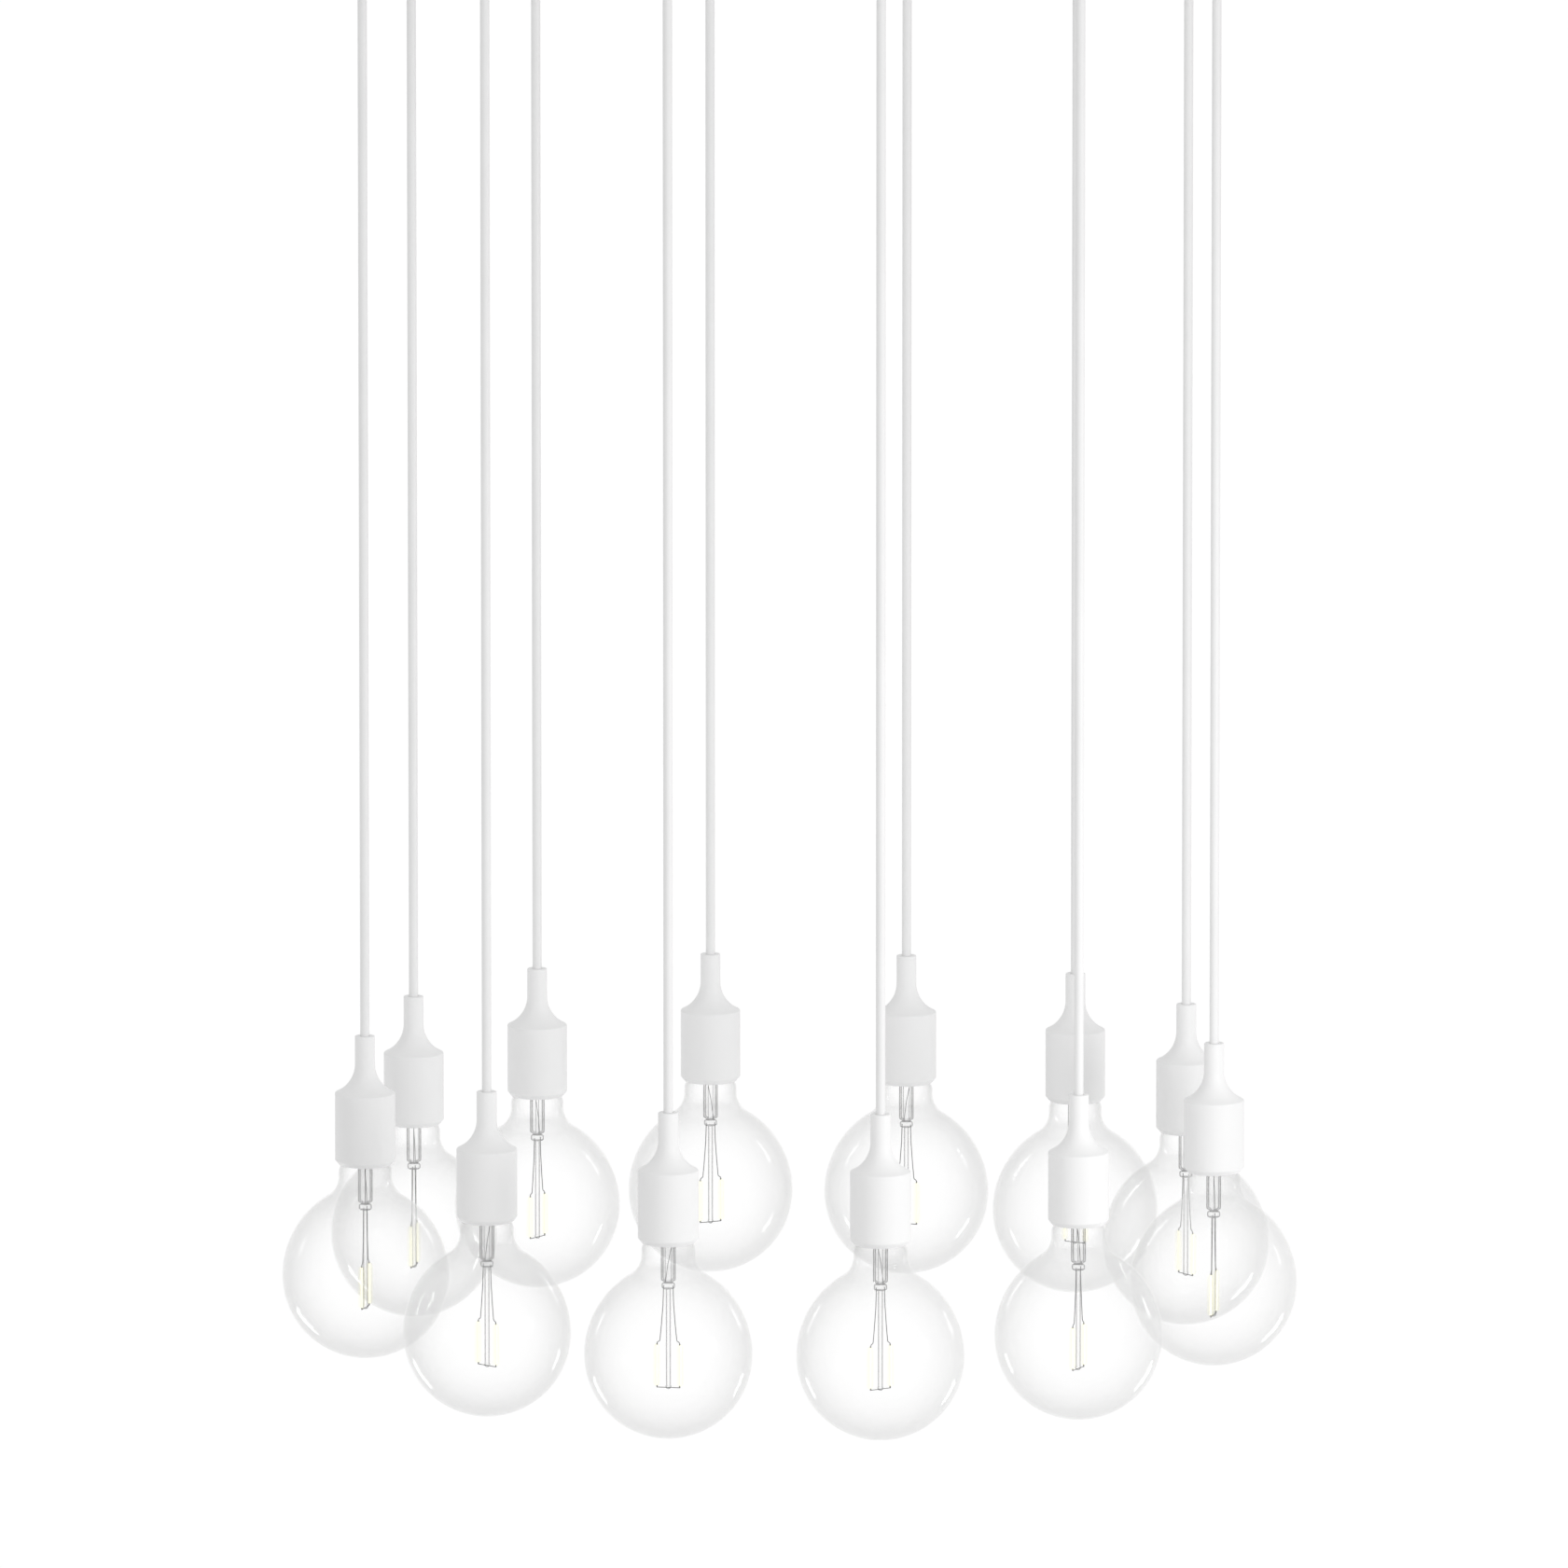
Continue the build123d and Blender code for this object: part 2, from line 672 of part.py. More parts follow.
for piece in (
    canopy,
    bracket,
    canopy_screws,
    cord_grips,
    grip_nuts,
    inner_leads,
    junction_box,
    junction_cover,
    box_screws,
    terminal_block,
    terminal_screws,
    inlet_grommet,
):
    export_step(piece.part, f"parts/{piece.part.label}.step")

print("cord: straight, length", round(cord_end + pivot_level - neck_top, 1), "mm, no bends")
print("globe centre below the neck's top:", round(globe_depth, 1), "bottom:", round(globe_depth + globe_radius, 1))
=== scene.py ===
"""Cluster pendant: twelve white lamps with clear globe bulbs, in a ring below a round ceiling canopy.

Metres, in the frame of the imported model: origin at the centre of the ceiling face, +Z up, the front of
the ring towards -Y. Lamp pieces are drawn once, with their origin on the lamp's axis at the top of the
sleeve's neck and -Z downwards, and each mesh is shared by the twelve lamps.
"""

from math import acos, atan2, cos, degrees, pi, radians, sin, sqrt, tan

import bmesh
import bpy
from mathutils import Matrix, Vector


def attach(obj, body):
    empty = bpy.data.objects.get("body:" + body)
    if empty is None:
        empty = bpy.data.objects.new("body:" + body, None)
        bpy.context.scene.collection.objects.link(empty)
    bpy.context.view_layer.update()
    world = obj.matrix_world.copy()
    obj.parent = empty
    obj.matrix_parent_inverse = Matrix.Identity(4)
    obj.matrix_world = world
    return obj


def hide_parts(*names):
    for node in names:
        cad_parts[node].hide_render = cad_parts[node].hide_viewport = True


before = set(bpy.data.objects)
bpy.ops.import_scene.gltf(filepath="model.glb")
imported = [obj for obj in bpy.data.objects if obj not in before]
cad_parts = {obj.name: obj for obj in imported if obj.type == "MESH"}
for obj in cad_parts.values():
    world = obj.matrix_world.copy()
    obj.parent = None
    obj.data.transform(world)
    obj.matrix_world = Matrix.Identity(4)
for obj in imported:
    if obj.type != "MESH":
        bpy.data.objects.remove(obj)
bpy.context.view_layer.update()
MM = 0.001

# ---- the ring, as in the CAD model ----
RING_RADIUS = 0.318
BEARINGS = [12, 42, 83, 111, 137.5, 164, 191, 217, 243, 272, 315, 343.5]
BULB_TURNS = [32, 61, 76, 127, 150, 155, 25, 51, 75, 72, 140, 170]  # how far each bulb is screwed round
NECK_TOP = -0.919
CORD_TOP = -0.047
CORD_BOTTOM = -0.967
CORD_RADIUS = 0.0035
CORD_HELD = 0.042  # from each end of a cord's curve to its next control point


def ring_point(bearing, level):
    """A point on the ring of lamps, at a bearing from the front as seen from above."""
    angle = radians(bearing)
    return Vector((RING_RADIUS * sin(angle), -RING_RADIUS * cos(angle), level))


# ---- camera: a long lens, a little above the lamps and looking down on them ----
PITCH = radians(10.6)
DISTANCE = 22.6
FOCAL_LENGTH = 696
camera_data = bpy.data.cameras.new("camera")
camera_data.lens = FOCAL_LENGTH
camera_data.sensor_width = 36
camera_data.clip_end = 200
camera = bpy.data.objects.new("camera", camera_data)
bpy.context.scene.collection.objects.link(camera)
target = Vector((-0.005, 0, -0.730))
camera.location = target + DISTANCE * Vector((0, -cos(PITCH), sin(PITCH)))
camera.rotation_euler = (pi / 2 - PITCH, 0, 0)
bpy.context.scene.camera = camera


# ---- node materials ----
def new_material(name):
    """A material with one Principled shader, its node tree and that shader."""
    made = bpy.data.materials.new(name)
    made.use_nodes = True
    return made, made.node_tree, made.node_tree.nodes["Principled BSDF"]


def add_node(tree, kind, **values):
    """A node of that kind with its input sockets or its own settings set by name."""
    made = tree.nodes.new(kind)
    for name, value in values.items():
        if name in made.inputs:
            made.inputs[name].default_value = value
        else:
            setattr(made, name, value)
    return made


def glow(finish, colour, strength):
    """Lets a finish give off a little light of its own."""
    shader = finish.node_tree.nodes["Principled BSDF"]
    shader.inputs["Emission Color"].default_value = (*colour, 1)
    shader.inputs["Emission Strength"].default_value = strength


def surface(name, colour, variation, roughness, grain, depth, metallic=0.0, spread=0.06):
    """A solid finish: a colour that drifts a little, uneven roughness, and a fine grain in the bump."""
    made, tree, shader = new_material(name)
    place = add_node(tree, "ShaderNodeTexCoord")
    drift = add_node(tree, "ShaderNodeTexNoise", Scale=18.0, Detail=3.0)
    tree.links.new(place.outputs["Object"], drift.inputs["Vector"])
    tint = add_node(tree, "ShaderNodeValToRGB")
    tint.color_ramp.elements[0].position = 0.3
    tint.color_ramp.elements[0].color = (*[c * (1 - variation) for c in colour], 1)
    tint.color_ramp.elements[1].position = 0.7
    tint.color_ramp.elements[1].color = (*colour, 1)
    tree.links.new(drift.outputs["Fac"], tint.inputs["Fac"])
    tree.links.new(tint.outputs["Color"], shader.inputs["Base Color"])
    fine = add_node(tree, "ShaderNodeTexNoise", Scale=grain, Detail=4.0)
    tree.links.new(place.outputs["Object"], fine.inputs["Vector"])
    rough = add_node(tree, "ShaderNodeMapRange")
    rough.inputs["To Min"].default_value = roughness - spread
    rough.inputs["To Max"].default_value = roughness + spread
    tree.links.new(fine.outputs["Fac"], rough.inputs["Value"])
    tree.links.new(rough.outputs["Result"], shader.inputs["Roughness"])
    bump = add_node(tree, "ShaderNodeBump", Strength=0.25, Distance=depth)
    tree.links.new(fine.outputs["Fac"], bump.inputs["Height"])
    tree.links.new(bump.outputs["Normal"], shader.inputs["Normal"])
    shader.inputs["Metallic"].default_value = metallic
    return made


def clear_glass(name, stops, colour, roughness):
    """Clear glass: see-through where it faces the eye, and stronger towards its rims.

    stops are (facing, share of the surface that shows), where facing runs from 0, square on, to 1.
    """
    made, tree, shader = new_material(name)
    shader.inputs["Base Color"].default_value = (*colour, 1)
    shader.inputs["Roughness"].default_value = roughness
    shader.inputs["IOR"].default_value = 1.5
    shader.inputs["Specular IOR Level"].default_value = 1.0
    clear = add_node(tree, "ShaderNodeBsdfTransparent")
    facing = add_node(tree, "ShaderNodeLayerWeight", Blend=0.5)
    ramp = add_node(tree, "ShaderNodeValToRGB")
    ramp.color_ramp.interpolation = "B_SPLINE"
    for index, (position, share) in enumerate(stops):
        if index < 2:
            stop = ramp.color_ramp.elements[index]
        else:
            stop = ramp.color_ramp.elements.new(position)
        stop.position = position
        stop.color = (share, share, share, 1)
    tree.links.new(facing.outputs["Facing"], ramp.inputs["Fac"])
    mix = add_node(tree, "ShaderNodeMixShader")
    tree.links.new(ramp.outputs["Color"], mix.inputs["Fac"])
    tree.links.new(clear.outputs["BSDF"], mix.inputs[1])
    tree.links.new(shader.outputs["BSDF"], mix.inputs[2])
    out = tree.nodes["Material Output"]
    tree.links.new(mix.outputs["Shader"], out.inputs["Surface"])
    return made


WHITE = (0.86, 0.86, 0.86)
# name, colour, how far it drifts, roughness, scale and depth of the grain
sleeve_finish = surface("moulded_sleeve", WHITE, 0.02, 0.55, 2600, 0.00004)
cord_finish = surface("cord_sheath", (0.84, 0.84, 0.84), 0.03, 0.5, 1800, 0.00005)
core_finish = surface("holder_core", (0.80, 0.79, 0.76), 0.04, 0.45, 1500, 0.00005)
shell_finish = surface("nickel_plate", (0.72, 0.70, 0.66), 0.10, 0.28, 900, 0.00003, metallic=1.0)
brass_finish = surface("brass", (0.78, 0.60, 0.32), 0.12, 0.3, 900, 0.00003, metallic=1.0)
insulator_finish = surface("cap_insulator", (0.03, 0.03, 0.035), 0.2, 0.2, 900, 0.00004)
wire_finish = surface("dark_wire", (0.24, 0.24, 0.24), 0.2, 0.45, 2500, 0.00002, metallic=0.6)
filament_finish = surface("filament_strip", (0.93, 0.92, 0.82), 0.03, 0.6, 4000, 0.00003)
glow(filament_finish, (1.0, 0.99, 0.88), 0.3)
canopy_finish = surface("powder_coat", WHITE, 0.02, 0.45, 1100, 0.00008)
zinc_finish = surface(
    "zinc_plate", (0.62, 0.62, 0.63), 0.18, 0.35, 350, 0.00003, metallic=1.0, spread=0.12
)
nylon_finish = surface("white_nylon", (0.83, 0.83, 0.82), 0.03, 0.5, 1600, 0.00005)
box_finish = surface("box_plastic", (0.80, 0.80, 0.79), 0.03, 0.48, 1200, 0.00007)
terminal_finish = surface("terminal_plastic", (0.72, 0.72, 0.69), 0.04, 0.5, 1400, 0.00006)
rubber_finish = surface("rubber", (0.06, 0.06, 0.06), 0.25, 0.75, 900, 0.0001)

globe_finish = clear_glass(
    "globe_glass",
    [(0.0, 0.008), (1.0, 0.27), (0.15, 0.012), (0.4, 0.12), (0.62, 0.235)],
    (0.78, 0.78, 0.78),
    0.02,
)
tube_finish = clear_glass(
    "stem_glass",
    [(0.0, 0.012), (1.0, 0.85), (0.34, 0.02), (0.52, 0.28), (0.66, 0.72)],
    (0.14, 0.14, 0.14),
    0.04,
)
# the filaments' coat, partly the real yellowish coat and partly a painted glow: wider than the coat,
# fading out towards its edges and giving off a little yellow light
coat_and_glow_finish = clear_glass(
    "filament_coat_and_glow",
    [(0.0, 0.06), (1.0, 0.0), (0.25, 0.052), (0.6, 0.03)],
    (0.90, 0.85, 0.12),
    0.6,
)
glow(coat_and_glow_finish, (1.0, 0.95, 0.1), 0.25)
rod_finish = clear_glass(
    "rod_glass",
    [(0.0, 0.01), (1.0, 0.45), (0.10, 0.03), (0.22, 0.24), (0.40, 0.38)],
    (0.12, 0.12, 0.12),
    0.04,
)

# ---- cords: straight under the lamps' weight, from the grips to the lampholders ----
for number, bearing in enumerate(BEARINGS, start=1):
    lamp = f"{number:02d}"
    curve = bpy.data.curves.new("cord_line_" + lamp, "CURVE")
    curve.dimensions = "3D"
    curve.bevel_depth = CORD_RADIUS
    curve.bevel_resolution = 6
    curve.use_fill_caps = True
    line = curve.splines.new("NURBS")
    levels = (CORD_TOP, CORD_TOP - CORD_HELD, CORD_BOTTOM + CORD_HELD, CORD_BOTTOM)
    line.points.add(len(levels) - 1)
    for point, level in zip(line.points, levels):
        point.co = (*ring_point(bearing, level), 1)
    line.order_u = 3
    line.use_endpoint_u = True
    cord = bpy.data.objects.new("cord_sheath_" + lamp, curve)
    bpy.context.scene.collection.objects.link(cord)
    curve.materials.append(cord_finish)
    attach(cord, "pendant_" + lamp)
    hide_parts("cord_" + lamp)


# ---- outlines and meshes ----
ON_AXIS = 1e-6  # a smaller radius is a point on the axis


def arc(centre_x, centre_z, radius, start, end, steps):
    """Points (radius, height) along an arc, from one angle to another in degrees."""
    points = []
    for step in range(steps + 1):
        angle = radians(start + (end - start) * step / steps)
        points.append((centre_x + radius * cos(angle), centre_z + radius * sin(angle)))
    return points


def rounded(*corners, steps=6):
    """An outline through (radius, height, fillet) corners, each rounded with its fillet."""
    points = []
    for index, (x, z, fillet) in enumerate(corners):
        before = corners[index - 1]
        after = corners[(index + 1) % len(corners)]
        if fillet <= 0:
            points.append((x, z))
            continue
        here = Vector((x, z))
        back = (Vector(before[:2]) - here).normalized()
        on = (Vector(after[:2]) - here).normalized()
        half = back.angle(on) / 2
        reach = fillet / tan(half)
        centre = here + (back + on).normalized() * fillet / sin(half)
        start = here + back * reach - centre
        end = here + on * reach - centre
        first = atan2(start.y, start.x)
        sweep = (atan2(end.y, end.x) - first + pi) % (2 * pi) - pi
        count = max(2, round(steps * abs(sweep) / (pi / 2)))
        for step in range(count + 1):
            angle = first + sweep * step / count
            points.append((centre.x + fillet * cos(angle), centre.y + fillet * sin(angle)))
    return points


def lathe(name, outline, segments=96, closed=False):
    """A mesh turned about Z from (radius, height) points in millimetres.

    closed joins the last point to the first.
    """
    form = bmesh.new()
    rings = []
    for radius, height in outline:
        if radius <= ON_AXIS:
            rings.append([form.verts.new((0, 0, height * MM))])
            continue
        ring = []
        for segment in range(segments):
            angle = 2 * pi * segment / segments
            spot = (radius * MM * cos(angle), radius * MM * sin(angle), height * MM)
            ring.append(form.verts.new(spot))
        rings.append(ring)
    pairs = list(zip(rings, rings[1:]))
    if closed:
        pairs.append((rings[-1], rings[0]))
    for upper, lower in pairs:
        for segment in range(segments):
            following = (segment + 1) % segments
            if len(upper) == 1 and len(lower) == 1:
                continue
            if len(upper) == 1:
                form.faces.new((upper[0], lower[segment], lower[following]))
            elif len(lower) == 1:
                form.faces.new((upper[segment], lower[0], upper[following]))
            else:
                form.faces.new((upper[segment], lower[segment], lower[following], upper[following]))
    return finished(name, form)


def finished(name, form, sharp=35):
    """The mesh of a form, smooth but for its sharp edges."""
    bmesh.ops.recalc_face_normals(form, faces=form.faces)
    mesh = bpy.data.meshes.new(name)
    form.to_mesh(mesh)
    form.free()
    mesh.polygons.foreach_set("use_smooth", [True] * len(mesh.polygons))
    mesh.set_sharp_from_angle(angle=radians(sharp))
    return mesh


def tube(form, points, radius, sides=10):
    """Adds a round wire along points, in millimetres, to a form, with mitred bends and closed ends."""
    points = [Vector(point) * MM for point in points]
    radius = radius * MM
    rings = []
    for index, point in enumerate(points):
        before = (point - points[index - 1]).normalized() if index else None
        after = (points[index + 1] - point).normalized() if index < len(points) - 1 else None
        along = ((before or after) + (after or before)).normalized()
        aside = along.cross(Vector((0.31, 0.95, 0.05))).normalized()
        across = along.cross(aside)
        stretch = 1.0
        if before and after:
            stretch = 1 / max(0.5, cos(before.angle(after) / 2))
        ring = []
        for side in range(sides):
            angle = 2 * pi * side / sides
            outward = aside * cos(angle) + across * sin(angle)
            ring.append(form.verts.new(point + outward * radius * stretch))
        rings.append(ring)
    for first, second in zip(rings, rings[1:]):
        for side in range(sides):
            following = (side + 1) % sides
            form.faces.new((first[side], first[following], second[following], second[side]))
    form.faces.new(rings[0][::-1])
    form.faces.new(rings[-1])


def threaded(name, top, bottom, crest, root, pitch, wall, segments=72, rows_per_turn=10):
    """A thin rolled tube with a right-handed thread, from depth top to bottom, in millimetres.

    The thread fades out over the last 0.6 of a turn at each end.
    """
    form = bmesh.new()
    rows = round((bottom - top) / pitch * rows_per_turn)
    skins = []
    for inset in (0, wall):
        skin = []
        for row in range(rows + 1):
            depth = top + (bottom - top) * row / rows
            fade = min(1.0, (depth - top) / (0.6 * pitch), (bottom - depth) / (0.6 * pitch))
            ring = []
            for segment in range(segments):
                angle = 2 * pi * segment / segments
                wave = 0.5 + 0.5 * cos(-2 * pi * depth / pitch - angle)
                radius = (root + (crest - root) * (wave * fade + (1 - fade)) - inset) * MM
                ring.append(form.verts.new((radius * cos(angle), radius * sin(angle), -depth * MM)))
            skin.append(ring)
        skins.append(skin)
    outer, inner = skins
    loops = outer + inner[::-1]
    for upper, lower in zip(loops, loops[1:] + loops[:1]):
        for segment in range(segments):
            following = (segment + 1) % segments
            form.faces.new((upper[segment], lower[segment], lower[following], upper[following]))
    return finished(name, form, sharp=60)


# ---- the bulb's outline, depths in millimetres below the top of the sleeve's neck ----
CAP_DEPTH = 92.5
CAP_RADIUS = 13.1
CAP_SKIN = 0.4
SEAL_RADIUS = CAP_RADIUS - CAP_SKIN - 0.3
SEAL_TOP = 84.5
GLASS_WALL = 0.9
GLOBE_RADIUS = 62.5
UPPER_RADIUS = 70.0
FLARE_RADIUS = 18.0
BULB_NECK = 20.0
NECK_ROUND = 12.0
neck_centre = BULB_NECK - NECK_ROUND
ROUND_DEPTH = CAP_DEPTH + 0.3 + sqrt(NECK_ROUND**2 - (CAP_RADIUS - CAP_SKIN - neck_centre) ** 2)
FLARE_DEPTH = ROUND_DEPTH + 3.0
upper_offset = UPPER_RADIUS - GLOBE_RADIUS
flare_offset = BULB_NECK + FLARE_RADIUS + upper_offset
GLOBE_DEPTH = FLARE_DEPTH + sqrt((UPPER_RADIUS + FLARE_RADIUS) ** 2 - flare_offset**2)
flare_angle = degrees(acos(flare_offset / (UPPER_RADIUS + FLARE_RADIUS)))


def glass_skin(inset):
    """The glass's outline moved in by inset, from its lowest point up to the end of its neck."""
    end_radius = SEAL_RADIUS - inset
    round_radius = NECK_ROUND - inset
    round_angle = degrees(acos((end_radius - neck_centre) / round_radius))
    skin = arc(0, -GLOBE_DEPTH, GLOBE_RADIUS - inset, -90, 0, 40)
    skin += arc(-upper_offset, -GLOBE_DEPTH, UPPER_RADIUS - inset, 0, flare_angle, 28)[1:]
    flare_centre = BULB_NECK + FLARE_RADIUS
    skin += arc(flare_centre, -FLARE_DEPTH, FLARE_RADIUS + inset, 180 + flare_angle, 180, 14)[1:]
    skin += arc(neck_centre, -ROUND_DEPTH, round_radius, 0, round_angle, 14)
    skin.append((end_radius, -SEAL_TOP))
    return skin


globe_outline = glass_skin(0) + glass_skin(GLASS_WALL)[::-1]
globe_outline[0] = (0, -GLOBE_DEPTH - GLOBE_RADIUS)
globe_outline[-1] = (0, -GLOBE_DEPTH - GLOBE_RADIUS + GLASS_WALL)
globe_mesh = lathe("globe_glass", globe_outline, segments=128)

# ---- the bulb's screw cap ----
PITCH_OF_THREAD = 25.4 / 7
cap_thread = threaded("cap_thread", 74.6, 90.4, CAP_RADIUS, 12.3, PITCH_OF_THREAD, CAP_SKIN)
cap_rim = lathe(
    "cap_rim",
    rounded(
        (12.7, -90.4, 0),
        (CAP_RADIUS, -90.4, 0),
        (CAP_RADIUS, -91.5, 0.3),
        (13.6, -92.0, 0.2),
        (13.6, -CAP_DEPTH, 0.2),
        (12.7, -CAP_DEPTH, 0),
    ),
    segments=72,
    closed=True,
)
cap_shoulder = lathe(
    "cap_shoulder",
    rounded(
        (CAP_RADIUS, -74.6, 0),
        (CAP_RADIUS, -73.7, 0.6),
        (11.9, -72.5, 0.6),
        (9.6, -70.8, 0.4),
        (9.3, -71.2, 0),
        (11.7, -73.0, 0.4),
        (12.7, -73.9, 0.4),
        (12.7, -74.6, 0),
    ),
    segments=72,
    closed=True,
)
insulator = lathe(
    "cap_insulator",
    rounded(
        (0, -68.0, 0),
        (6.0, -68.0, 0.5),
        (9.5, -70.9, 0.4),
        (9.2, -72.6, 0.4),
        (5.0, -74.0, 1.0),
        (0, -74.0, 0),
    ),
    segments=72,
)

# ---- the bulb's glass stem: a flared hollow tube, its bead, and a solid rod below ----
STEM_RADIUS = 5.5
STEM_BORE = 4.2
STEM_END = 127.9
skirt = SEAL_RADIUS - GLASS_WALL - 0.3
stem_tube = lathe(
    "stem_tube",
    rounded(
        (skirt, -SEAL_TOP, 0),
        (skirt, -86.0, 0.4),
        (STEM_RADIUS, -93.0, 5.0),
        (STEM_RADIUS, -126.0, 1.2),
        (3.2, -127.3, 0.8),
        (3.2, -STEM_END, 0),
        (2.4, -STEM_END, 0),
        (2.4, -126.6, 0.8),
        (STEM_BORE, -125.2, 1.0),
        (STEM_BORE, -93.2, 5.0),
        (skirt - 1.2, -SEAL_TOP, 0),
    ),
    segments=48,
    closed=True,
)
bead = lathe(
    "bead",
    rounded(
        (0, -128.0, 0),
        (4.9, -128.0, 1.5),
        (4.9, -132.5, 1.5),
        (0, -132.5, 0),
    ),
    segments=48,
)
rod_knob = arc(0, -206.1, 2.2, 25, -90, 10)[1:-1] + [(0, -208.3)]
rod = lathe("rod", [(0, -132.6), (1.85, -132.6), (1.85, -205.6)] + rod_knob, segments=32)

# ---- the bulb's wires: three leads in the stem, two supports with end tabs, and the crossbar ----
HOOK_SPREAD = 8.5  # from the axis to each wire's end
BAR_LEVEL = -207.0
LEAD_RADIUS = 0.16
BENT_LEAD_RADIUS = 0.22
WIRE_RADIUS = 0.32
TAB_RADIUS = 0.5
form = bmesh.new()
for side in (-1, 1):
    lead = [(side * 2.3, 0.5 * side, -84.8), (side * 2.1, 0.5 * side, -127.8)]
    tube(form, lead, LEAD_RADIUS)
    support = [
        (side * 3.5, 0, -130.3),
        (side * 4.0, 0, -145.0),
        (side * 5.2, 0, -160.0),
        (side * 6.3, 0, -171.2),
        (side * 6.6, 0, -172.0),
        (side * 8.1, 0, -173.0),
        (side * 8.4, 0, -173.6),
        (side * HOOK_SPREAD, 0, -175.2),
    ]
    tube(form, support, WIRE_RADIUS)
    for top, bottom in ((-173.9, -175.4), (-205.0, -207.2)):
        tube(form, [(side * HOOK_SPREAD, 0, top), (side * HOOK_SPREAD, 0, bottom)], TAB_RADIUS)
bent_lead = [(-2.6, -0.6, -84.8), (-2.3, -0.6, -101.0), (0.4, -0.6, -114.0), (2.2, -0.6, -127.6)]
tube(form, bent_lead, BENT_LEAD_RADIUS)
tube(form, [(-HOOK_SPREAD, 0, BAR_LEVEL), (HOOK_SPREAD, 0, BAR_LEVEL)], WIRE_RADIUS)
wires_mesh = finished("mount_wires", form, sharp=60)

# ---- the filaments: a bright strip in a clear yellowish coat, round-ended; the coat is drawn wide with edges that fade out, a painted glow around each filament ----
FILAMENT_SPREAD = 8.9  # from the axis to each filament
FILAMENT_RADIUS = 0.9
FILAMENT_TOP = -175.0
FILAMENT_BOTTOM = -205.4
# the coat is drawn this wide to carry the painted glow around each filament
COAT_AND_GLOW_RADIUS = 2.9
COAT_AND_GLOW_SIDES = 24
form = bmesh.new()
for side in (-1, 1):
    aside = side * FILAMENT_SPREAD
    tube(form, [(aside, 0, FILAMENT_TOP), (aside, 0, FILAMENT_BOTTOM)], FILAMENT_RADIUS, sides=16)
filament_mesh = finished("filaments", form)
form = bmesh.new()
capsule = arc(0, -177.0, COAT_AND_GLOW_RADIUS, 90, 0, 8) + arc(0, -203.6, COAT_AND_GLOW_RADIUS, 0, -90, 8)
for side in (-1, 1):
    rings = []
    for radius, height in capsule:
        count = COAT_AND_GLOW_SIDES if radius > ON_AXIS else 1
        ring = []
        for step in range(count):
            angle = 2 * pi * step / count
            spot = (side * FILAMENT_SPREAD + radius * cos(angle), radius * sin(angle), height)
            ring.append(form.verts.new(Vector(spot) * MM))
        rings.append(ring)
    for upper, lower in zip(rings, rings[1:]):
        for step in range(COAT_AND_GLOW_SIDES):
            corners = [upper[step % len(upper)], lower[step % len(lower)]]
            corners += [lower[(step + 1) % len(lower)], upper[(step + 1) % len(upper)]]
            form.faces.new(dict.fromkeys(corners))  # a tip's corner counts once
coat_and_glow_mesh = finished("filament_coat_and_glow", form)

# ---- the lampholder: sleeve, insulating cup, screw shell and centre contact ----
SLEEVE_HEIGHT = 97.5
SLEEVE_RADIUS = 22.5
SLEEVE_BORE = 20.1
SLEEVE_NECK = 7.5
CORD_BORE = 3.7
SHOULDER = 1.2
CHAMFER_TOP = 94.0
CAVITY_TOP = 35.0
MOUTH_GAP = 0.6
MOUTH_LIP = 0.9
mouth = neck_centre + sqrt(NECK_ROUND**2 - (ROUND_DEPTH - SLEEVE_HEIGHT) ** 2) + MOUTH_GAP
sleeve_mesh = lathe(
    "sleeve",
    rounded(
        (CORD_BORE, 0, 0.3),
        (SLEEVE_NECK, 0, 0.8),
        (SLEEVE_NECK, -36.2, 23.5),
        (SLEEVE_RADIUS, -43.2, SHOULDER),
        (SLEEVE_RADIUS, -CHAMFER_TOP, 0.6),
        (mouth + MOUTH_LIP, -SLEEVE_HEIGHT, 0.3),
        (mouth, -SLEEVE_HEIGHT, 0.3),
        (mouth, -CHAMFER_TOP, 0),
        (SLEEVE_BORE, -CHAMFER_TOP, 0),
        (SLEEVE_BORE, -45.6, SHOULDER),
        (SLEEVE_NECK, -CAVITY_TOP, 0),
        (CORD_BORE, -CAVITY_TOP, 0),
        steps=20,
    ),
    closed=True,
)
CORE_RADIUS = 19.9
CORE_BORE = 14.25
CORE_BOTTOM = 93.8
core_mesh = lathe(
    "holder_core",
    rounded(
        (0, -48.0, 0),
        (6.0, -48.0, 0.5),
        (6.0, -56.0, 1.0),
        (CORE_RADIUS, -56.0, 2.0),
        (CORE_RADIUS, -CORE_BOTTOM, 0.5),
        (17.45, -CORE_BOTTOM, 0),
        (CORE_BORE, -90.2, 0),
        (CORE_BORE, -62.65, 1.0),
        (0, -62.65, 0),
    ),
    segments=72,
)
shell_mesh = threaded("screw_shell", 70.0, 90.0, 14.1, 13.35, PITCH_OF_THREAD, 0.35)
contact_mesh = lathe(
    "centre_contact",
    rounded((0, -62.8, 0), (4.0, -62.8, 0), (4.0, -65.3, 1.0), (0, -65.3, 0)),
    segments=48,
)

